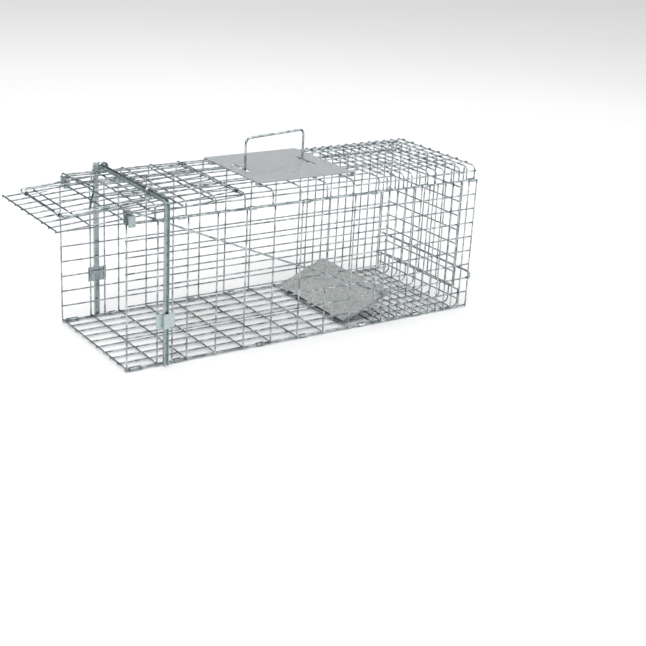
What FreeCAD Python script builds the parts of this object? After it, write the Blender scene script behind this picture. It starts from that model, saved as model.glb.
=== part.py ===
"""Wire live catch trap, erected and set: a ring-jointed box of welded mesh with a drop door.

X runs along the cage from the entrance to the rear, Y across it and Z up.
The origin is on the ground, under the middle of the cage's floor. All lengths are in millimetres.
"""

import FreeCAD
import Part

import math
import os

# Driving dimensions
COARSE = 50.8               # pitch of the cross wires in the front of the cage
COARSE_BAYS = 9
FINE_BAYS = 12              # closer cross wires guard the bait end
FINE = COARSE / 3
LANE = 25.4                 # pitch of the lengthwise wires
LANES = 9                   # lanes across the floor and up the sides
WIRE = 2.4                  # mesh wire diameter
WELD = 0.1                  # how far crossing wires sink into each other
EDGE_GAP = 3.2              # between the centres of two ringed edge wires
RING_WALL = 1.2
RING_PLAY = 0.3
RING_LENGTH = 12.0
HINGE_RING_LENGTH = 8.0
LINK_LENGTH = 20.0          # the long rings at the entrance's bottom corners
RING_SLIT = 1.2             # where a ring's two edges meet
FLANGE = LANE               # depth of the roof's turned-down sides
REAR_FLANGE = 34.0          # height of the floor's turned-up rear
BEND = 9.0                  # centre-line radius where mesh is folded
SHEET = 1.2                 # sheet metal of the plate and the pan
FRAME_WIDTH = 8.0           # front frame channel, along X
FRAME_DEPTH = 5.0
FRAME_WALL = 1.0
FRAME_BEND = 9.0            # outer radius of its two corners
FRAME_PLAY = 0.3            # between the frame and the panels or clips it touches
CLIP_HEIGHT = 24.0
CLIP_LOW = 62.0             # height of a post clip's lower edge
CLIP_WALL = 1.0
DOOR_LANES = 8
DOOR_BAYS = 6
DOOR_DROOP = 4.0            # degrees below level when set
BAIL_WIRE = 3.6
BAIL_LEG = 140.0
BAIL_GAP = 6.2              # from the bail's crossbar centre to the door's cross wires
BAIL_BEND = 6.0
BAIL_DROP = 11.0            # the legs step down from the eyes to pass under the roof's second cross wire
EYE = 7.0                   # mean radius of the eyes round the frame's top bar
SPRING_WIRE = 1.8
SPRING_TURNS = 6
SPRING_INSET = 12.0         # from the bail's corner to the coil
BRACE_WIRE = 2.8
PAN_LENGTH = 104.0
PAN_WIDTH = 202.0
PAN_TILT = 22.0             # degrees above level when set
PAN_HEM = 4.0               # depth of its turned-down edges
PAN_SHEET_UP = 2.0          # from the hinge wire's centre up to the sheet
KNUCKLE = 12.0              # length of each knuckle round the hinge wire
PIVOT_PLAY = 0.35           # around the pan's hinge wire and the rod's pin
ROD_WIRE = 3.0
ROD_PIN_ALONG = 92.0        # the rod's hole in the pan's ear, measured in the pan's plane
ROD_PIN_UP = 8.0
LOCK_WIRE = 3.8
LOCK_HOOK = 12.0
HANDLE_WIRE = 3.8
HANDLE_SPAN = 128.3
HANDLE_HEIGHT = 54.0
HANDLE_TURN = 10.8          # degrees that the loose handle stands askew in its slots
HANDLE_FOOT = 8.0
SLOT_LENGTH = 56.5
TONGUE_WIDTH = 10.0
PLATE_REST = 0.1            # between the plate and the roof wires it lies on

# Derived places
LENGTH = COARSE_BAYS * COARSE + FINE_BAYS * FINE
FRONT = -LENGTH / 2
REAR = LENGTH / 2
R = WIRE / 2
LAYER = WIRE - WELD                            # between the centres of crossing wires
HALF = LANES * LANE / 2                        # floor's edge wires and roof's flange wires
SIDE_Y = HALF + EDGE_GAP                       # side panels' lengthwise wires
Z_FLOOR = RING_WALL + RING_PLAY + R
Z_EAVE = Z_FLOOR + LANES * LANE                # side panels' top wires
Z_ROOF = Z_EAVE + FLANGE                       # roof's lengthwise wires
ROOF_TOP = Z_ROOF + R
CROSS_XS = [FRONT + COARSE * i for i in range(COARSE_BAYS + 1)]
CROSS_XS += [CROSS_XS[-1] + FINE * i for i in range(1, FINE_BAYS + 1)]
FRAME_X = FRONT + 1.25 * COARSE
FRAME_Y = SIDE_Y + LAYER + R + 0.4             # inner face of the frame's posts
HINGE_X = FRONT + 4 * COARSE                   # door's hinge wire, under a roof cross wire
HINGE_Z = Z_ROOF - LAYER - EDGE_GAP
REAR_X = REAR - 15.0                           # rear panel and the floor's turned-up flange
REAR_HINGE_Z = REAR_FLANGE + EDGE_GAP
LOCK_X = REAR - FINE / 2
LOCK_Z = 70.0
PAN_X = FRONT + 8 * COARSE                     # pan turns on this floor cross wire
PAN_Z = Z_FLOOR + LAYER
PLATE_X = FRONT + 337.0
PLATE_Y = 8.0
PLATE_LENGTH = 181.0
PLATE_WIDTH = 178.0
HANDLE_X = 3.0
HANDLE_Y = 14.0
HANDLE_AXIS_Z = ROOF_TOP + PLATE_REST - 0.3 - HANDLE_WIRE / 2
FRAME_TOP = ROOF_TOP + FRAME_PLAY              # underside of the frame's top bar
BAIL_FAR_Y = 95.0
BAIL_NEAR_Y = -68.0
BAIL_X = FRAME_X
BAIL_Z = FRAME_TOP + FRAME_DEPTH / 2
BAIL_TIP = BAIL_X - BAIL_LEG                   # the crossbar, with the bail laid level
BAIL_LOW = BAIL_Z - BAIL_DROP                  # its legs, with the bail laid level
FLOOR_RING_XS = [FRONT + x for x in (88.0, 237.0, 319.0, 436.0)] + [CROSS_XS[14] + FINE / 2]
LINK_X = FRONT + 16.0
EAVE_RING_XS = [FRONT + x for x in (92.0, 214.0, 314.0, 446.0)]
EAVE_RING_XS += [CROSS_XS[14] + FINE / 2, CROSS_XS[20] + FINE / 2]
ROD_Y = -106.8              # in the lane between the door and the roof's flange
UP = FreeCAD.Vector(0, 0, 1)


def v(x, y, z):
    return FreeCAD.Vector(x, y, z)


ROD_FRONT = v(FRONT + 15.2, ROD_Y, 246.5)      # the set rod's tip


def bar(p, q, radius=R):
    """A straight round wire from p to q."""
    return Part.makeCylinder(radius, (q - p).Length, p, q - p)


def bent(points, radius, bend):
    """A round wire along straight runs joined by arcs, with one bend radius or one for each corner."""
    edges = []
    start = points[0]
    bends = bend if isinstance(bend, list) else [bend] * (len(points) - 2)
    for before, corner, after, bend in zip(points, points[1:], points[2:], bends):
        a = (before - corner).normalize()
        b = (after - corner).normalize()
        turn = math.pi - a.getAngle(b)
        cut = bend * math.tan(turn / 2)
        p, q = corner + a * cut, corner + b * cut
        middle = (a + b).normalize()
        centre = corner + middle * (bend / math.cos(turn / 2))
        edges.append(Part.LineSegment(start, p).toShape())
        edges.append(Part.Arc(p, centre - middle * bend, q).toShape())
        start = q
    edges.append(Part.LineSegment(start, points[-1]).toShape())
    path = Part.Wire(edges)
    profile = Part.Wire([Part.makeCircle(radius, points[0], points[1] - points[0])])
    return path.makePipeShell([profile], True, False)


def quarter(centre, to_p, to_q, radius=R, bend=BEND):
    """The bent quarter of a folded mesh wire, between two directions from its centre."""
    p, q = centre + to_p * bend, centre + to_q * bend
    middle = centre + (to_p + to_q).normalize() * bend
    path = Part.Wire([Part.Arc(p, middle, q).toShape()])
    profile = Part.Wire([Part.makeCircle(radius, p, to_q)])
    return path.makePipeShell([profile], True, False)


def plate(x0, x1, y0, y1, z0, z1):
    return Part.makeBox(x1 - x0, y1 - y0, z1 - z0, v(x0, y0, z0))


def ring(centre, along, across, length):
    """A sheet C-ring closed round two parallel wires that lie side by side in the direction across."""
    inner_w = EDGE_GAP + WIRE + 2 * RING_PLAY
    inner_h = WIRE + 2 * RING_PLAY
    corner = inner_h / 2 - 0.05
    inner = rounded(inner_w, inner_h, corner, length)
    outer = rounded(inner_w + 2 * RING_WALL, inner_h + 2 * RING_WALL, corner + RING_WALL, length)
    slit = Part.makeBox(RING_SLIT, inner_h, length, v(inner_w / 2 - 2.5 * RING_SLIT, 0, -length / 2))
    shape = outer.cut(inner).cut(slit)
    up = along.cross(across)
    turn = FreeCAD.Matrix(
        across.x, up.x, along.x, centre.x,
        across.y, up.y, along.y, centre.y,
        across.z, up.z, along.z, centre.z,
    )
    shape.Placement = FreeCAD.Placement(turn)
    return shape


def rounded(width, height, corner, length):
    """A bar of rounded oblong section, centred on the origin and running along Z."""
    box = Part.makeBox(width, height, length, v(-width / 2, -height / 2, -length / 2))
    upright = [e for e in box.Edges if abs(e.tangentAt(e.FirstParameter).z) > 0.99]
    return box.makeFillet(corner, upright)


def turned(shape, x, z, degrees):
    """The shape turned about the Y axis through (x, z)."""
    copy = shape.copy()
    copy.rotate(v(x, 0, z), v(0, 1, 0), degrees)
    return copy


def lanes(count):
    return [LANE * (i - count / 2) for i in range(count + 1)]


# Mesh panels
def floor_panel():
    wires = []
    low = REAR_X - BEND
    for y in lanes(LANES):
        wires.append(bar(v(FRONT - R, y, Z_FLOOR), v(low, y, Z_FLOOR)))
        wires.append(quarter(v(low, y, Z_FLOOR + BEND), v(0, 0, -1), v(1, 0, 0)))
        wires.append(bar(v(REAR_X, y, Z_FLOOR + BEND), v(REAR_X, y, REAR_FLANGE + R)))
    for x in CROSS_XS:
        if x < low:
            wires.append(bar(v(x, -HALF - R, Z_FLOOR + LAYER), v(x, HALF + R, Z_FLOOR + LAYER)))
    for z in (REAR_FLANGE / 2, REAR_FLANGE):
        wires.append(bar(v(REAR_X - LAYER, -HALF - R, z), v(REAR_X - LAYER, HALF + R, z)))
    return wires


def side_panel(side):
    y = side * SIDE_Y
    outer = side * (SIDE_Y + LAYER)
    wires = []
    for i in range(LANES + 1):
        z = Z_FLOOR + LANE * i
        wires.append(bar(v(FRONT - R, y, z), v(REAR + R, y, z)))
    for x in CROSS_XS + [FRONT + 1.5 * COARSE]:
        wires.append(bar(v(x, outer, Z_FLOOR - R), v(x, outer, Z_EAVE + R)))
    return wires


def roof_panel():
    inner = HALF - LAYER
    z = Z_ROOF - LAYER
    wires = []
    for y in lanes(LANES)[1:-1]:
        wires.append(bar(v(FRONT - R, y, Z_ROOF), v(REAR + R, y, Z_ROOF)))
    for side in (-1, 1):
        for level in (Z_EAVE, Z_ROOF - BEND - R):
            wires.append(bar(v(FRONT - R, side * HALF, level), v(REAR + R, side * HALF, level)))
    for x in CROSS_XS:
        wires.append(bar(v(x, BEND - inner, z), v(x, inner - BEND, z)))
        for side in (-1, 1):
            centre = v(x, side * (inner - BEND), z - BEND)
            wires.append(quarter(centre, v(0, 0, 1), v(0, side, 0)))
            wires.append(bar(v(x, side * inner, z - BEND), v(x, side * inner, Z_EAVE - R)))
    return wires


def rear_panel():
    width = LANE * 4
    top = Z_ROOF - LAYER - R - 2.0
    wires = []
    for y in lanes(8):
        wires.append(bar(v(REAR_X, y, REAR_HINGE_Z - R), v(REAR_X, y, top)))
    levels = [REAR_HINGE_Z + LANE * i for i in range(9)]
    for z in levels:
        wires.append(bar(v(REAR_X - LAYER, -width - R, z), v(REAR_X - LAYER, width + R, z)))
    return wires


# Rings between the panels
def edge_rings(xs, side, z, length=RING_LENGTH):
    y = side * (HALF + EDGE_GAP / 2)
    return [ring(v(x, y, z), v(1, 0, 0), v(0, side, 0), length) for x in xs]


def rear_rings():
    z = REAR_FLANGE + EDGE_GAP / 2
    x = REAR_X - LAYER
    ys = (-LANE / 4, LANE * 2.25)
    return [ring(v(x, y, z), v(0, 1, 0), v(0, 0, -1), HINGE_RING_LENGTH) for y in ys]


def door_rings():
    z = HINGE_Z + EDGE_GAP / 2
    ys = (-3.25 * LANE, 3.25 * LANE)
    return [ring(v(HINGE_X, y, z), v(0, 1, 0), v(0, 0, -1), HINGE_RING_LENGTH) for y in ys]


# Front frame, an outward-facing channel bent into an upside-down U that squares the entrance
def front_frame():
    bottom = Z_FLOOR - R
    top = FRAME_TOP
    outer_y = FRAME_Y + FRAME_DEPTH

    def arch(half, height, corner, x0, x1):
        box = Part.makeBox(x1 - x0, 2 * half, height - bottom, v(x0, -half, bottom))
        tops = [e for e in box.Edges if abs(e.tangentAt(0).x) > 0.99 and e.BoundBox.ZMin > height - 1]
        return box.makeFillet(corner, tops)

    x0, x1 = FRAME_X - FRAME_WIDTH / 2, FRAME_X + FRAME_WIDTH / 2
    inner = FRAME_BEND - FRAME_DEPTH
    solid = arch(outer_y, top + FRAME_DEPTH, FRAME_BEND, x0, x1)
    opening = arch(FRAME_Y, top, inner, x0 - 1, x1 + 1)
    trough = arch(outer_y + 1, top + FRAME_DEPTH + 1, FRAME_BEND + 1, x0 + FRAME_WALL, x1 - FRAME_WALL)
    web = arch(FRAME_Y + FRAME_WALL, top + FRAME_WALL, inner + FRAME_WALL, x0, x1)
    return [solid.cut(opening).cut(trough.cut(web))]


def post_clip(side):
    """A strap that holds a post of the front frame against two upright wires of a side panel."""
    wall = CLIP_WALL
    skin = SIDE_Y + LAYER + R + FRAME_PLAY / 2
    reach = FRAME_X - (FRONT + COARSE) + R + 2.0
    hat = FRAME_WIDTH / 2 + FRAME_PLAY
    out = FRAME_Y + FRAME_DEPTH + FRAME_PLAY
    section = [(-reach, skin), (-hat, skin), (-hat, out), (hat, out), (hat, skin), (reach, skin),
               (reach, skin + wall), (hat + wall, skin + wall), (hat + wall, out + wall),
               (-hat - wall, out + wall), (-hat - wall, skin + wall), (-reach, skin + wall)]
    points = [v(FRAME_X + x, side * y, CLIP_LOW) for x, y in section]
    face = Part.Face(Part.makePolygon(points + points[:1]))
    return [face.extrude(v(0, 0, CLIP_HEIGHT))]


# Roof plate and carrying handle
def roof_plate():
    """A sheet on the roof wires, slotted for the handle, with tongues folded under two cross wires."""
    x0, x1 = PLATE_X - PLATE_LENGTH / 2, PLATE_X + PLATE_LENGTH / 2
    y0, y1 = PLATE_Y - PLATE_WIDTH / 2, PLATE_Y + PLATE_WIDTH / 2
    low = ROOF_TOP + PLATE_REST
    box = plate(x0, x1, y0, y1, low, low + SHEET)
    corners = [e for e in box.Edges if abs(e.tangentAt(0).z) > 0.99]
    body = box.makeFillet(4.0, corners)
    slot_width = 2 * HANDLE_WIRE
    for sign in (-1, 1):
        slot = rounded(slot_width, SLOT_LENGTH, slot_width / 2 - 0.05, 10.0)
        leg_x = HANDLE_X + sign * HANDLE_SPAN / 2 * math.cos(math.radians(HANDLE_TURN))
        slot.translate(v(leg_x - 1.1, HANDLE_Y, low))
        body = body.cut(slot)
    under = Z_ROOF - LAYER - R - PLATE_REST
    half = TONGUE_WIDTH / 2
    for edge, wire_x in ((x0, CROSS_XS[5]), (x1, CROSS_XS[8])):
        for y in (-3 * LANE, 3 * LANE):
            outward = math.copysign(1.0, edge - PLATE_X)
            wall_x = sorted((edge, edge + outward * SHEET))
            return_x = sorted((edge + outward * SHEET, wire_x - outward * 4.0))
            wall = plate(*wall_x, y - half, y + half, under - SHEET, low + SHEET)
            hook = plate(*return_x, y - half, y + half, under - SHEET, under)
            body = body.fuse([wall, hook])
    return [body.removeSplitter()]


def carry_handle():
    """Built along X, then turned to stand askew. Its feet lie under the plate, between two roof wires."""
    x0, x1 = HANDLE_X - HANDLE_SPAN / 2, HANDLE_X + HANDLE_SPAN / 2
    low, top = HANDLE_AXIS_Z, HANDLE_AXIS_Z + HANDLE_HEIGHT
    handle = bent([v(x0 - HANDLE_FOOT, HANDLE_Y, low), v(x0, HANDLE_Y, low), v(x0, HANDLE_Y, top),
                   v(x1, HANDLE_Y, top), v(x1, HANDLE_Y, low), v(x1 + HANDLE_FOOT, HANDLE_Y, low)],
                  HANDLE_WIRE / 2, [3.5, 9.0, 9.0, 3.5])
    handle.rotate(v(HANDLE_X, HANDLE_Y, 0), UP, HANDLE_TURN)
    return [handle]


# Door and its hinge
def door_mesh():
    half = DOOR_LANES * LANE / 2
    reach = DOOR_BAYS * COARSE
    wires = []
    for y in lanes(DOOR_LANES):
        wires.append(bar(v(HINGE_X + R, y, HINGE_Z - LAYER), v(HINGE_X - reach - R, y, HINGE_Z - LAYER)))
    for i in range(DOOR_BAYS + 1):
        x = HINGE_X - COARSE * i
        wires.append(bar(v(x, -half - R, HINGE_Z), v(x, half + R, HINGE_Z)))
    return [turned(w, HINGE_X, HINGE_Z, -DOOR_DROOP) for w in wires]


def door_catch():
    """A sheet ear on the door's near edge wire, whose lip the trigger rod's tip carries."""
    wall = 1.2
    side = -DOOR_LANES * LANE / 2 - R + WELD
    x0, x1 = FRONT + 4.0, ROD_FRONT.x - 1.6
    top = HINGE_Z + 13.0
    web = plate(x0, x1, side - wall, side, HINGE_Z - LAYER - 3.0, top)
    lip = plate(x0, x1, ROD_Y - ROD_WIRE / 2, side, top - wall, top)
    return [turned(web.fuse(lip).removeSplitter(), HINGE_X, HINGE_Z, -DOOR_DROOP)]


# Lock bail, which swings on the front frame's top bar and follows the door down
def bail_angle():
    """Angle below level of the line from the bail's pivot to its crossbar, on the set door."""
    reach = math.hypot(BAIL_LEG, BAIL_DROP)
    droop = math.radians(DOOR_DROOP)
    lift = (HINGE_X - BAIL_X) * math.sin(droop) + (BAIL_Z - HINGE_Z) * math.cos(droop) - BAIL_GAP
    return DOOR_DROOP + math.degrees(math.asin(lift / reach))


def bail_place(shape):
    return turned(shape, BAIL_X, BAIL_Z, -(bail_angle() - math.degrees(math.atan2(BAIL_DROP, BAIL_LEG))))


def lock_bail():
    """Built with its legs level, then turned to lie on the door."""
    r = BAIL_WIRE / 2
    z, tip = BAIL_LOW, BAIL_TIP
    root = BAIL_X - EYE
    frame = bent([v(root, BAIL_NEAR_Y, BAIL_Z), v(root, BAIL_NEAR_Y, z), v(tip, BAIL_NEAR_Y, z),
                  v(tip, BAIL_FAR_Y, z), v(root, BAIL_FAR_Y, z), v(root, BAIL_FAR_Y, BAIL_Z)], r, BAIL_BEND)
    eyes = [Part.makeTorus(EYE, r + 0.2, v(BAIL_X, y, BAIL_Z), v(0, 1, 0)) for y in (BAIL_NEAR_Y, BAIL_FAR_Y)]
    return [bail_place(frame.fuse(eyes))]


def bail_spring(corner_y, inward):
    """A torsion spring on the bail's crossbar, with one arm back along the leg and one under the bar."""
    wire = SPRING_WIRE
    mean = BAIL_WIRE / 2 + PIVOT_PLAY + wire / 2
    pitch = wire + 0.25
    z, tip = BAIL_LOW, BAIL_TIP
    start_y = corner_y + inward * SPRING_INSET
    helix = Part.makeHelix(pitch, pitch * SPRING_TURNS, mean)
    section = Part.Wire([Part.makeCircle(wire / 2, v(mean, 0, 0), v(0, mean, pitch / (2 * math.pi)))])
    coil = Part.Wire(helix).makePipeShell([section], True, True)
    coil.Placement = FreeCAD.Placement(v(tip, start_y, z), FreeCAD.Rotation(v(0, 0, 1), v(0, inward, 0)))
    far_y = start_y + inward * pitch * SPRING_TURNS
    arms = [bar(v(tip + 0.5, start_y, z + mean), v(BAIL_X - 26.0, start_y, z - 3.5), wire / 2),
            bar(v(tip + 0.5, far_y, z - mean), v(tip + 34.0, far_y, z - mean + 1.2), wire / 2)]
    return [bail_place(s) for s in [coil] + arms]


def bail_brace():
    """A light V of wire between the legs, whose point the setter lifts by."""
    r = BRACE_WIRE / 2
    z = BAIL_LOW + BAIL_WIRE / 2 + 0.2 + r
    brace = bent([v(BAIL_TIP + 42.0, BAIL_NEAR_Y, z), v(BAIL_TIP + 92.0, 26.0, z),
                  v(BAIL_TIP + 88.0, BAIL_FAR_Y, z)], r, 7.0)
    return [bail_place(brace)]


# Brackets at the roof's front corners
def front_bracket(side):
    x0 = FRONT + 2.4
    y0 = side * (HALF - LAYER - R - 0.2)
    outer = side * (SIDE_Y + LAYER + R + 1.2)
    top = Z_EAVE + 12.0
    shank = plate(x0, x0 + 11.0, min(y0, y0 - side), max(y0, y0 - side), Z_EAVE - 4.0, Z_ROOF - 12.0)
    over = plate(x0, x0 + 11.0, min(y0 - side, outer), max(y0 - side, outer), top, top + 1.0)
    lip = plate(x0, x0 + 11.0, min(outer - side, outer), max(outer - side, outer), Z_EAVE - 4.0, top + 1.0)
    return [shank.fuse([over, lip]).removeSplitter()]


# Trigger pan and rod
def pan_point(along, up=0.0):
    """A point of the pan's plane, at a distance behind its hinge and above its sheet."""
    a = math.radians(PAN_TILT)
    x = along * math.cos(a) - up * math.sin(a)
    z = along * math.sin(a) + up * math.cos(a)
    return v(PAN_X + x, 0, PAN_Z + z)


def trigger_pan():
    """Sheet pan with turned-down edges and three knuckles round its hinge wire, built level, then tilted."""
    half = PAN_WIDTH / 2
    z = PAN_Z + PAN_SHEET_UP
    sheet = plate(PAN_X + 3.5, PAN_X + PAN_LENGTH, -half, half, z, z + SHEET)
    parts = []
    for side in (-1, 1):
        y0, y1 = sorted((side * half, side * (half - SHEET)))
        parts.append(plate(PAN_X + 8.0, PAN_X + PAN_LENGTH, y0, y1, z - PAN_HEM, z + SHEET))
    parts.append(plate(PAN_X + PAN_LENGTH - SHEET, PAN_X + PAN_LENGTH, -half, half, z - PAN_HEM, z + SHEET))
    bore_radius = R + PIVOT_PLAY
    for y in (-3 * LANE + 4, 0, 3 * LANE - 4):
        y0, y1 = y - KNUCKLE / 2, y + KNUCKLE / 2
        outer = Part.makeCylinder(bore_radius + SHEET, KNUCKLE, v(PAN_X, y0, PAN_Z), v(0, 1, 0))
        tongue = plate(PAN_X, PAN_X + 6.0, y0, y1, z - 0.05, z + SHEET)
        bore = Part.makeCylinder(bore_radius, KNUCKLE + 2, v(PAN_X, y0 - 1, PAN_Z), v(0, 1, 0))
        parts.append(outer.fuse(tongue).cut(bore))
    pin = v(PAN_X + ROD_PIN_ALONG, 0, PAN_Z + ROD_PIN_UP)
    ear = plate(pin.x - 6.0, pin.x + 6.0, -half, -half + SHEET, z, pin.z + 6.0)
    parts.append(ear)
    body = sheet.fuse(parts).removeSplitter()
    hole = Part.makeCylinder(ROD_WIRE / 2 + PIVOT_PLAY, 10.0, v(pin.x, -half - 4.0, pin.z), v(0, 1, 0))
    return [turned(body.cut(hole), PAN_X, PAN_Z, -PAN_TILT)]


def rod_pin():
    p = pan_point(ROD_PIN_ALONG, ROD_PIN_UP)
    return v(p.x, ROD_Y, p.z)


def trigger_rod():
    end = rod_pin()
    inward = v(end.x, -PAN_WIDTH / 2 + 7.0, end.z)
    return [bent([ROD_FRONT, end, inward], ROD_WIRE / 2, 4.5)]


def rod_guide():
    """A wire eye that hangs from the roof's second cross wire and carries the rod's front."""
    wire = 0.6
    hole = 3.0
    back = (rod_pin() - ROD_FRONT).normalize()
    centre = ROD_FRONT + back * ((CROSS_XS[1] - ROD_FRONT.x) / back.x)
    crown = centre + v(-back.z, 0, back.x) * hole
    eye = Part.makeTorus(hole, wire, centre, back)
    stem = bar(crown, v(CROSS_XS[1], ROD_Y, Z_ROOF - LAYER - R - 0.7), wire)
    return [eye.fuse(stem)]


# Rear panel's lock rod
def rear_lock():
    """A straight rod with its near end bent into a finger hook."""
    out = SIDE_Y + LAYER + R
    hook_y, hook_z = -out - LOCK_HOOK, LOCK_Z - LOCK_HOOK
    return [bent([v(LOCK_X, out + 3.0, LOCK_Z), v(LOCK_X, hook_y, LOCK_Z), v(LOCK_X, hook_y, hook_z),
                  v(LOCK_X, -out - 4.5, hook_z)], LOCK_WIRE / 2, 4.0)]


NODES = {
    "floor_mesh": floor_panel,
    "near_side_mesh": lambda: side_panel(-1),
    "far_side_mesh": lambda: side_panel(1),
    "roof_mesh": roof_panel,
    "rear_mesh": rear_panel,
    "near_floor_rings": lambda: edge_rings(FLOOR_RING_XS, -1, Z_FLOOR),
    "far_floor_rings": lambda: edge_rings(FLOOR_RING_XS, 1, Z_FLOOR),
    "near_corner_link": lambda: edge_rings([LINK_X], -1, Z_FLOOR, LINK_LENGTH),
    "far_corner_link": lambda: edge_rings([LINK_X], 1, Z_FLOOR, LINK_LENGTH),
    "near_eave_rings": lambda: edge_rings(EAVE_RING_XS, -1, Z_EAVE),
    "far_eave_rings": lambda: edge_rings(EAVE_RING_XS, 1, Z_EAVE),
    "rear_hinge_rings": rear_rings,
    "door_hinge_rings": door_rings,
    "front_frame": front_frame,
    "near_post_clip": lambda: post_clip(-1),
    "far_post_clip": lambda: post_clip(1),
    "near_front_bracket": lambda: front_bracket(-1),
    "far_front_bracket": lambda: front_bracket(1),
    "roof_plate": roof_plate,
    "carry_handle": carry_handle,
    "door_mesh": door_mesh,
    "door_catch_ear": door_catch,
    "lock_bail": lock_bail,
    "near_bail_spring": lambda: bail_spring(BAIL_NEAR_Y, 1),
    "far_bail_spring": lambda: bail_spring(BAIL_FAR_Y, -1),
    "bail_brace": bail_brace,
    "trigger_pan": trigger_pan,
    "trigger_rod": trigger_rod,
    "rod_guide_eye": rod_guide,
    "rear_lock_rod": rear_lock,
}

os.makedirs("parts", exist_ok=True)
for name, make in NODES.items():
    solids = [s for piece in make() for s in piece.Solids]
    shape = solids[0] if len(solids) == 1 else Part.makeCompound(solids)
    assert solids and all(s.isValid() and s.Volume > 0 for s in solids), name
    shape.exportStep("parts/" + name + ".step")
    print(name, len(solids), "solids", round(sum(s.Volume for s in solids)), "mm3")
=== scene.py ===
"""Looks for the live catch trap: wavy welded wire, spangled zinc sheet, studio light and the camera."""

import math

import bpy
from mathutils import Matrix, Vector, noise


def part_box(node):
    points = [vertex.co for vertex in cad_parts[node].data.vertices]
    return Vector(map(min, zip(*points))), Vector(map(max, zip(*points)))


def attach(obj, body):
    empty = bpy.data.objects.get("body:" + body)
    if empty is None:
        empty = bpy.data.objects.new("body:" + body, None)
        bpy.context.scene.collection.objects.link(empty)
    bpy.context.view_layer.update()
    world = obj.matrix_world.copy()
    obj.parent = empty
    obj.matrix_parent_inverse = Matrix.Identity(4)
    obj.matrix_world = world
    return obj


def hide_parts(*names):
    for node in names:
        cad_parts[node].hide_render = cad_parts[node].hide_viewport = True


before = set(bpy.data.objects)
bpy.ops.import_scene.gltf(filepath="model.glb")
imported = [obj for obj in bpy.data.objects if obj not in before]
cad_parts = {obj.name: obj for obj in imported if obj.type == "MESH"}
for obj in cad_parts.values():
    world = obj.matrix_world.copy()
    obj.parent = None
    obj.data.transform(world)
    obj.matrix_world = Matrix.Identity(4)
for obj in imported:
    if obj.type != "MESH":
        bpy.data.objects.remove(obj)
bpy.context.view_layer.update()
MM = 0.001

# The mesh's pitches and wire
WIRE = 2.4 * MM
R = WIRE / 2
LAYER = 2.3 * MM            # between the centres of crossing wires
LANE = 25.4 * MM
COARSE = 50.8 * MM
COARSE_BAYS = 9
FINE = COARSE / 3
FINE_BAYS = 12
BEND = 9.0 * MM
LANES = 9
REAR_LANES = 8
DOOR_LANES = 8
DOOR_BAYS = 6
DOOR_DROOP = math.radians(4.0)
HINGE_GAP = 3.2 * MM

# How the wire is drawn
SIDES = 10
STEP = 9.0 * MM             # along a straight run
ARC_STEPS = 6
WOBBLE = 0.22 * MM          # how far drawn wire strays from its line
WOBBLE_SCALE = 14.0         # noise cells per metre
WANDER_SHIFTS = (Vector((9.3, -1.5, -7.9)), Vector((0.0, 0.0, 0.0)), Vector((6.3, 0.2, -2.7)))
CHAMFER = 0.3               # of the radius, at a cut end
END_SIZE = 0.72             # of the radius, across a cut end
WELD_WIDE = 1.42 * MM
WELD_THICK = 1.25 * MM
WELD_RINGS = 5
WELD_SIDES = 8

# Places read from the frame
near_lo, near_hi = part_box("near_side_mesh")
floor_lo, floor_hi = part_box("floor_mesh")
roof_lo, roof_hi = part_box("roof_mesh")
rear_lo, rear_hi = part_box("rear_mesh")
FRONT = near_lo.x + R
REAR = near_hi.x - R
Z_FLOOR = near_lo.z + R
Z_EAVE = near_hi.z - R
SIDE_Y = -(near_hi.y - R)
Z_ROOF = roof_hi.z - R
HALF = roof_hi.y - R
REAR_X = rear_hi.x - R
CROSS_XS = [FRONT + COARSE * i for i in range(COARSE_BAYS + 1)]
CROSS_XS += [CROSS_XS[-1] + FINE * i for i in range(1, FINE_BAYS + 1)]
EXTRA_UPRIGHT = FRONT + 1.5 * COARSE          # the side panels' upright behind the front frame
HINGE = Vector((FRONT + 4 * COARSE, 0, Z_ROOF - LAYER - HINGE_GAP))


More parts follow.
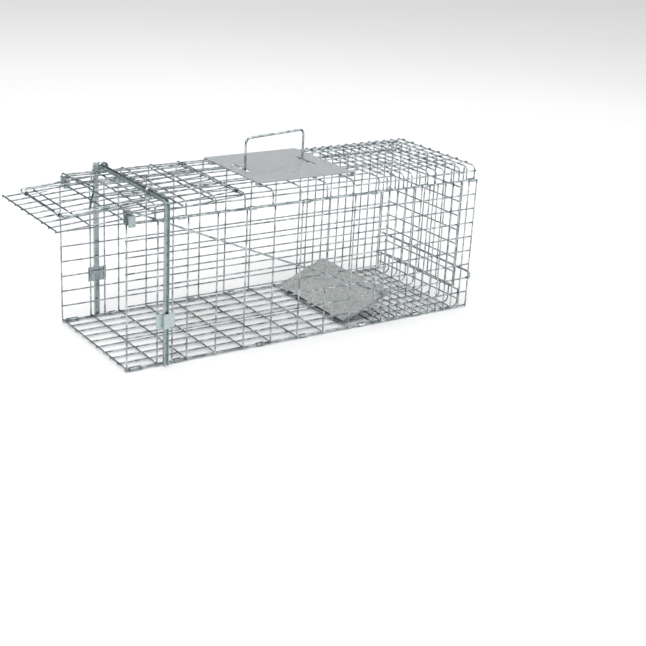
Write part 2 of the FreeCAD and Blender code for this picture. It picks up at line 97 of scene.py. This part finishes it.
# Mesh building
class Shape:
    """Vertices and faces gathered for one piece."""

    def __init__(self):
        self.verts = []
        self.faces = []
        self.count = 0

    def skin(self, first, rings, sides):
        """Faces around rings of vertices that start at first, with both ends capped."""
        for i in range(rings - 1):
            for k in range(sides):
                a, b = first + i * sides + k, first + i * sides + (k + 1) % sides
                self.faces.append((a, b, b + sides, a + sides))
        last = first + (rings - 1) * sides
        self.faces.append(tuple(first + k for k in reversed(range(sides))))
        self.faces.append(tuple(last + k for k in range(sides)))

    def tube(self, points, radius):
        """A round wire along the points, with its cut ends slightly chamfered."""
        first = len(self.verts)
        ends = [points[0], points[-1]]
        inward = [(points[1] - points[0]).normalized(), (points[-2] - points[-1]).normalized()]
        chamfer = radius * CHAMFER
        path = [ends[0], ends[0] + inward[0] * chamfer] + points[1:-1]
        path += [ends[1] + inward[1] * chamfer, ends[1]]
        normal = inward[0].orthogonal().normalized()
        for i, p in enumerate(path):
            ahead = path[min(i + 1, len(path) - 1)] - path[max(i - 1, 0)]
            tangent = ahead.normalized()
            normal = (normal - tangent * normal.dot(tangent)).normalized()
            other = tangent.cross(normal)
            reach = radius * (END_SIZE if i in (0, len(path) - 1) else 1.0)
            for k in range(SIDES):
                a = 2 * math.pi * k / SIDES
                self.verts.append(p + (normal * math.cos(a) + other * math.sin(a)) * reach)
        self.skin(first, len(path), SIDES)

    def wire(self, corners):
        """A mesh wire through the corners, rounded at each and a little uneven, as drawn wire is."""
        self.count += 1
        seed = Vector((3.7 * self.count, 1.3, 8.1 * len(corners)))
        points = rounded_path(corners)
        self.tube([p + wander(p * WOBBLE_SCALE + seed) * WOBBLE for p in points], R)

    def nugget(self, centre, across):
        """A weld's small upset of metal between two crossing wires. across runs from one to the other."""
        first = len(self.verts)
        turn = across.to_track_quat("Z", "Y")
        for i in range(WELD_RINGS):
            lat = math.pi * (i + 0.5) / WELD_RINGS - math.pi / 2
            for k in range(WELD_SIDES):
                lon = 2 * math.pi * k / WELD_SIDES
                x = WELD_WIDE * math.cos(lat) * math.cos(lon)
                y = WELD_WIDE * math.cos(lat) * math.sin(lon)
                self.verts.append(centre + turn @ Vector((x, y, WELD_THICK * math.sin(lat))))
        self.skin(first, WELD_RINGS, WELD_SIDES)

    def piece(self, name, material):
        mesh = bpy.data.meshes.new(name)
        mesh.from_pydata([tuple(p) for p in self.verts], [], self.faces)
        mesh.polygons.foreach_set("use_smooth", [len(f) <= 4 for f in self.faces])
        mesh.materials.append(material)
        obj = bpy.data.objects.new(name, mesh)
        bpy.context.scene.collection.objects.link(obj)
        return obj


def wander(p):
    """A smooth random vector that is the same in every run, which noise_vector's is not."""
    return Vector([noise.noise(p + shift) for shift in WANDER_SHIFTS])


def rounded_path(corners):
    """Points along straight runs joined by arcs, close enough to sweep a wire along."""
    points = []
    start = corners[0]
    for before, corner, after in zip(corners, corners[1:], corners[2:]):
        a, b = (before - corner).normalized(), (after - corner).normalized()
        turn = math.pi - a.angle(b)
        p = corner + a * BEND * math.tan(turn / 2)
        points += run(start, p)
        centre = corner + (a + b).normalized() * BEND / math.cos(turn / 2)
        spoke = p - centre
        axis = a.cross(b)
        for i in range(1, ARC_STEPS):
            points.append(centre + Matrix.Rotation(-turn * i / ARC_STEPS, 3, axis) @ spoke)
        start = corner + b * BEND * math.tan(turn / 2)
    return points + run(start, corners[-1]) + [corners[-1]]


def run(p, q):
    count = max(2, round((q - p).length / STEP))
    return [p.lerp(q, i / count) for i in range(count)]


def lanes(count):
    return [LANE * (i - count / 2) for i in range(count + 1)]


# Materials
def material(name):
    mat = bpy.data.materials.new(name)
    mat.use_nodes = True
    nodes, links = mat.node_tree.nodes, mat.node_tree.links
    shader = nodes["Principled BSDF"]
    coords = nodes.new("ShaderNodeTexCoord")
    return mat, nodes, links, shader, coords.outputs["Object"]


def noise_node(nodes, links, where, scale, detail=3.0, roughness=0.55):
    node = nodes.new("ShaderNodeTexNoise")
    node.inputs["Scale"].default_value = scale
    node.inputs["Detail"].default_value = detail
    node.inputs["Roughness"].default_value = roughness
    links.new(where, node.inputs["Vector"])
    return node.outputs["Fac"]


def ramp(nodes, links, value, stops):
    node = nodes.new("ShaderNodeValToRGB")
    first, last = node.color_ramp.elements
    first.position, last.position = stops[0][0], stops[-1][0]
    first.color = (*stops[0][1], 1)
    last.color = (*stops[-1][1], 1)
    for position, colour in stops[1:-1]:
        node.color_ramp.elements.new(position).color = (*colour, 1)
    links.new(value, node.inputs["Fac"])
    return node.outputs["Color"]


def spread(nodes, links, value, low, high):
    node = nodes.new("ShaderNodeMapRange")
    node.inputs["From Min"].default_value = 0.3
    node.inputs["From Max"].default_value = 0.7
    node.inputs["To Min"].default_value = low
    node.inputs["To Max"].default_value = high
    links.new(value, node.inputs["Value"])
    return node.outputs["Result"]


def bump(nodes, links, shader, value, strength):
    node = nodes.new("ShaderNodeBump")
    node.inputs["Strength"].default_value = strength
    node.inputs["Distance"].default_value = 0.2 * MM
    links.new(value, node.inputs["Height"])
    links.new(node.outputs["Normal"], shader.inputs["Normal"])


def wire_material(name, dark, light, rough):
    """Hot-dipped wire: patchy zinc, duller where the coating pooled, with a fine drawn grain."""
    mat, nodes, links, shader, where = material(name)
    patch_scale, pool_scale, grain_scale = 90.0, 260.0, 900.0
    middle = tuple((a + b) / 2 for a, b in zip(dark, light))
    patches = noise_node(nodes, links, where, patch_scale, 4.0)
    links.new(ramp(nodes, links, patches, [(0.36, dark), (0.5, middle), (0.66, light)]),
              shader.inputs["Base Color"])
    shader.inputs["Metallic"].default_value = 1.0
    shader.inputs["Specular Tint"].default_value = (0.30, 0.36, 0.38, 1)
    pools = noise_node(nodes, links, where, pool_scale)
    links.new(spread(nodes, links, pools, rough, rough + 0.16), shader.inputs["Roughness"])
    bump(nodes, links, shader, noise_node(nodes, links, where, grain_scale, 2.0), 0.22)
    return mat


def spangle_material(name, dark, light, cell, contrast, rough):
    """Zinc sheet: crystals of slightly different brightness over a cloudy coat, and fine handling marks."""
    mat, nodes, links, shader, where = material(name)
    mark_scale = 700.0
    warp = nodes.new("ShaderNodeTexNoise")
    warp.inputs["Scale"].default_value = 1 / cell * 0.6
    warp.inputs["Detail"].default_value = 2.0
    links.new(where, warp.inputs["Vector"])
    shift = nodes.new("ShaderNodeVectorMath")
    shift.operation = "MULTIPLY_ADD"
    shift.inputs[1].default_value = (cell, cell, cell)
    links.new(warp.outputs["Color"], shift.inputs[0])
    links.new(where, shift.inputs[2])
    crystals = nodes.new("ShaderNodeTexVoronoi")
    crystals.inputs["Scale"].default_value = 1 / cell
    links.new(shift.outputs["Vector"], crystals.inputs["Vector"])
    channels = nodes.new("ShaderNodeSeparateColor")
    links.new(crystals.outputs["Color"], channels.inputs["Color"])
    clouds = noise_node(nodes, links, where, 0.18 / cell, 5.0, 0.65)
    blend = nodes.new("ShaderNodeMix")
    blend.data_type = "FLOAT"
    blend.inputs[0].default_value = contrast
    links.new(clouds, blend.inputs[2])
    links.new(channels.outputs["Red"], blend.inputs[3])
    mottle = blend.outputs[0]
    links.new(ramp(nodes, links, mottle, [(0.25, dark), (0.75, light)]), shader.inputs["Base Color"])
    shader.inputs["Metallic"].default_value = 0.92
    links.new(spread(nodes, links, mottle, rough, rough + 0.18), shader.inputs["Roughness"])
    bump(nodes, links, shader, noise_node(nodes, links, where, mark_scale, 3.0), 0.1)
    return mat


MESH_WIRE = wire_material("mesh_wire", (0.16, 0.19, 0.20), (0.62, 0.66, 0.67), 0.17)
BAR_WIRE = wire_material("bar_wire", (0.20, 0.24, 0.25), (0.70, 0.75, 0.76), 0.16)
RING_STEEL = wire_material("ring_steel", (0.20, 0.24, 0.25), (0.66, 0.71, 0.72), 0.2)
SPRING_WIRE = wire_material("spring_wire", (0.38, 0.42, 0.43), (0.86, 0.90, 0.90), 0.14)
FRAME_STEEL = spangle_material("frame_steel", (0.22, 0.28, 0.29), (0.54, 0.61, 0.62), 2.5 * MM, 0.3, 0.24)
SHEET = spangle_material("zinc_sheet", (0.40, 0.42, 0.43), (0.56, 0.58, 0.59), 1.6 * MM, 0.3, 0.46)
CLIP_SHEET = spangle_material("clip_sheet", (0.40, 0.47, 0.48), (0.60, 0.68, 0.69), 2.0 * MM, 0.3, 0.3)
PAN_SHEET = spangle_material("pan_sheet", (0.26, 0.28, 0.28), (0.56, 0.58, 0.57), 2.4 * MM, 0.5, 0.36)

SHEET_METAL = {
    "front_frame": FRAME_STEEL, "near_front_bracket": FRAME_STEEL, "far_front_bracket": FRAME_STEEL,
    "near_post_clip": CLIP_SHEET, "far_post_clip": CLIP_SHEET, "roof_plate": SHEET,
    "door_catch_ear": SHEET, "trigger_pan": PAN_SHEET,
}
SPRINGS = ("near_bail_spring", "far_bail_spring")
RINGS = (
    "near_floor_rings", "far_floor_rings", "near_eave_rings", "far_eave_rings", "rear_hinge_rings",
    "door_hinge_rings", "near_corner_link", "far_corner_link",
)
CAD_LOOKS = {**SHEET_METAL, **dict.fromkeys(SPRINGS, SPRING_WIRE), **dict.fromkeys(RINGS, RING_STEEL)}


def carried(name, obj):
    """A CAD node that stays in view gets its material, and sheet metal gets softened edges."""
    obj.data.materials.clear()
    obj.data.materials.append(CAD_LOOKS.get(name, BAR_WIRE))
    if name in SHEET_METAL:
        soft = obj.modifiers.new("soft_edges", "BEVEL")
        soft.width = 0.25 * MM
        soft.segments = 2
        soft.limit_method = "ANGLE"
        soft.angle_limit = math.radians(50)


# Panels
def panel(name, body, build):
    shape = Shape()
    build(shape)
    obj = shape.piece(name + "_wires", MESH_WIRE)
    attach(obj, body)
    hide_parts(name)


def floor(shape):
    low = REAR_X - BEND
    top = floor_hi.z
    for y in lanes(LANES):
        shape.wire([Vector((FRONT - R, y, Z_FLOOR)), Vector((REAR_X, y, Z_FLOOR)), Vector((REAR_X, y, top))])
    for x in CROSS_XS:
        if x < low:
            z = Z_FLOOR + LAYER
            shape.wire([Vector((x, -HALF - R, z)), Vector((x, HALF + R, z))])
            for y in lanes(LANES):
                shape.nugget(Vector((x, y, z - LAYER / 2)), Vector((0, 0, 1)))
    flange = top - R
    for z in (flange / 2, flange):
        x = REAR_X - LAYER
        shape.wire([Vector((x, -HALF - R, z)), Vector((x, HALF + R, z))])
        for y in lanes(LANES):
            shape.nugget(Vector((x + LAYER / 2, y, z)), Vector((1, 0, 0)))


def side(sign):
    def build(shape):
        y, outer = sign * SIDE_Y, sign * (SIDE_Y + LAYER)
        levels = [Z_FLOOR + LANE * i for i in range(LANES + 1)]
        for z in levels:
            shape.wire([Vector((FRONT - R, y, z)), Vector((REAR + R, y, z))])
        for x in CROSS_XS + [EXTRA_UPRIGHT]:
            shape.wire([Vector((x, outer, Z_FLOOR - R)), Vector((x, outer, Z_EAVE + R))])
            for z in levels:
                shape.nugget(Vector((x, (y + outer) / 2, z)), Vector((0, 1, 0)))
    return build


def roof(shape):
    inner = HALF - LAYER
    z = Z_ROOF - LAYER
    for y in lanes(LANES)[1:-1]:
        shape.wire([Vector((FRONT - R, y, Z_ROOF)), Vector((REAR + R, y, Z_ROOF))])
    for sign in (-1, 1):
        for level in (Z_EAVE, Z_ROOF - BEND - R):
            shape.wire([Vector((FRONT - R, sign * HALF, level)), Vector((REAR + R, sign * HALF, level))])
            for x in CROSS_XS:
                shape.nugget(Vector((x, sign * (HALF - LAYER / 2), level)), Vector((0, 1, 0)))
    for x in CROSS_XS:
        foot = Z_EAVE - R
        shape.wire([Vector((x, -inner, foot)), Vector((x, -inner, z)), Vector((x, inner, z)),
                    Vector((x, inner, foot))])
        for y in lanes(LANES)[1:-1]:
            shape.nugget(Vector((x, y, z + LAYER / 2)), Vector((0, 0, 1)))


def rear(shape):
    inner_x = rear_lo.x + R
    levels = [rear_lo.z + R + LANE * i for i in range(REAR_LANES + 1)]
    for y in lanes(REAR_LANES):
        shape.wire([Vector((REAR_X, y, rear_lo.z)), Vector((REAR_X, y, rear_hi.z))])
    for z in levels:
        shape.wire([Vector((inner_x, rear_lo.y, z)), Vector((inner_x, rear_hi.y, z))])
        for y in lanes(REAR_LANES):
            shape.nugget(Vector(((inner_x + REAR_X) / 2, y, z)), Vector((1, 0, 0)))


def door(shape):
    """Laid out level, then drooped about its hinge."""
    droop = Matrix.Rotation(-DOOR_DROOP, 3, "Y")
    half, reach = DOOR_LANES * LANE / 2, DOOR_BAYS * COARSE

    def place(x, y, z):
        return HINGE + droop @ Vector((x, y, z))

    for y in lanes(DOOR_LANES):
        shape.wire([place(R, y, -LAYER), place(-reach - R, y, -LAYER)])
    for i in range(DOOR_BAYS + 1):
        x = -COARSE * i
        shape.wire([place(x, -half - R, 0), place(x, half + R, 0)])
        for y in lanes(DOOR_LANES):
            shape.nugget(place(x, y, -LAYER / 2), droop @ Vector((0, 0, 1)))


for name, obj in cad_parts.items():
    carried(name, obj)

panel("floor_mesh", "cage", floor)
panel("near_side_mesh", "cage", side(-1))
panel("far_side_mesh", "cage", side(1))
panel("roof_mesh", "cage", roof)
panel("rear_mesh", "rear_panel", rear)
panel("door_mesh", "door", door)


# Studio
def grey(level):
    return (level, level, level)


def studio():
    """A pale floor, and a sky that is dark low down, so that the wires have dark sides to reflect."""
    bpy.ops.mesh.primitive_plane_add(size=30.0, location=(0, 0, -0.4 * MM))
    ground = bpy.context.object
    ground.name = "studio_floor"
    mat, nodes, links, shader, where = material("studio_floor")
    tone = noise_node(nodes, links, where, 0.6)
    links.new(ramp(nodes, links, tone, [(0.3, grey(0.90)), (0.7, grey(0.93))]), shader.inputs["Base Color"])
    shader.inputs["Roughness"].default_value = 0.9
    ground.data.materials.append(mat)
    world = bpy.data.worlds.new("studio")
    bpy.context.scene.world = world
    world.use_nodes = True
    nodes, links = world.node_tree.nodes, world.node_tree.links
    coords = nodes.new("ShaderNodeTexCoord")
    split = nodes.new("ShaderNodeSeparateXYZ")
    links.new(coords.outputs["Generated"], split.inputs["Vector"])
    sky = ramp(nodes, links, split.outputs["Z"], [(0.0, (0.05, 0.06, 0.07)), (0.30, (0.12, 0.13, 0.14)),
                                                  (0.60, grey(0.95)), (1.0, grey(0.75))])
    path = nodes.new("ShaderNodeLightPath")
    seen = nodes.new("ShaderNodeMix")
    seen.data_type = "RGBA"
    seen.inputs["B"].default_value = (*grey(0.73), 1)
    links.new(path.outputs["Is Camera Ray"], seen.inputs["Factor"])
    links.new(sky, seen.inputs["A"])
    links.new(seen.outputs["Result"], nodes["Background"].inputs["Color"])
    nodes["Background"].inputs["Strength"].default_value = 1.0


def softbox(name, place, size, power):
    """A rectangular light aimed at the trap."""
    data = bpy.data.lights.new(name, "AREA")
    data.shape = "RECTANGLE"
    data.size, data.size_y = size
    data.energy = power
    obj = bpy.data.objects.new(name, data)
    obj.location = place
    aim = Vector((0, 0, 0.1))
    obj.rotation_euler = (aim - Vector(place)).to_track_quat("-Z", "Y").to_euler()
    bpy.context.scene.collection.objects.link(obj)


studio()
softbox("key", (-1.6, -1.4, 2.6), (1.6, 1.2), 42)
softbox("top", (0.6, 0.8, 2.8), (3.8, 3.2), 38)
softbox("fill", (2.2, -2.0, 1.4), (1.2, 1.6), 14)

# Camera at the photographer's place
camera_data = bpy.data.cameras.new("camera")
camera_data.lens = 72.8
camera_data.sensor_width = 36.0
camera = bpy.data.objects.new("camera", camera_data)
eye = Vector((-1.1282, -1.7683, 0.784))
ahead = Vector((0.536, 0.766, -0.355)).normalized()
right = Vector((0.829, -0.557, 0.052))
right = (right - ahead * right.dot(ahead)).normalized()
up = right.cross(ahead)
camera.matrix_world = Matrix.Translation(eye) @ Matrix((right, up, -ahead)).transposed().to_4x4()
bpy.context.scene.collection.objects.link(camera)
bpy.context.scene.camera = camera
bpy.context.scene.view_settings.view_transform = "Standard"
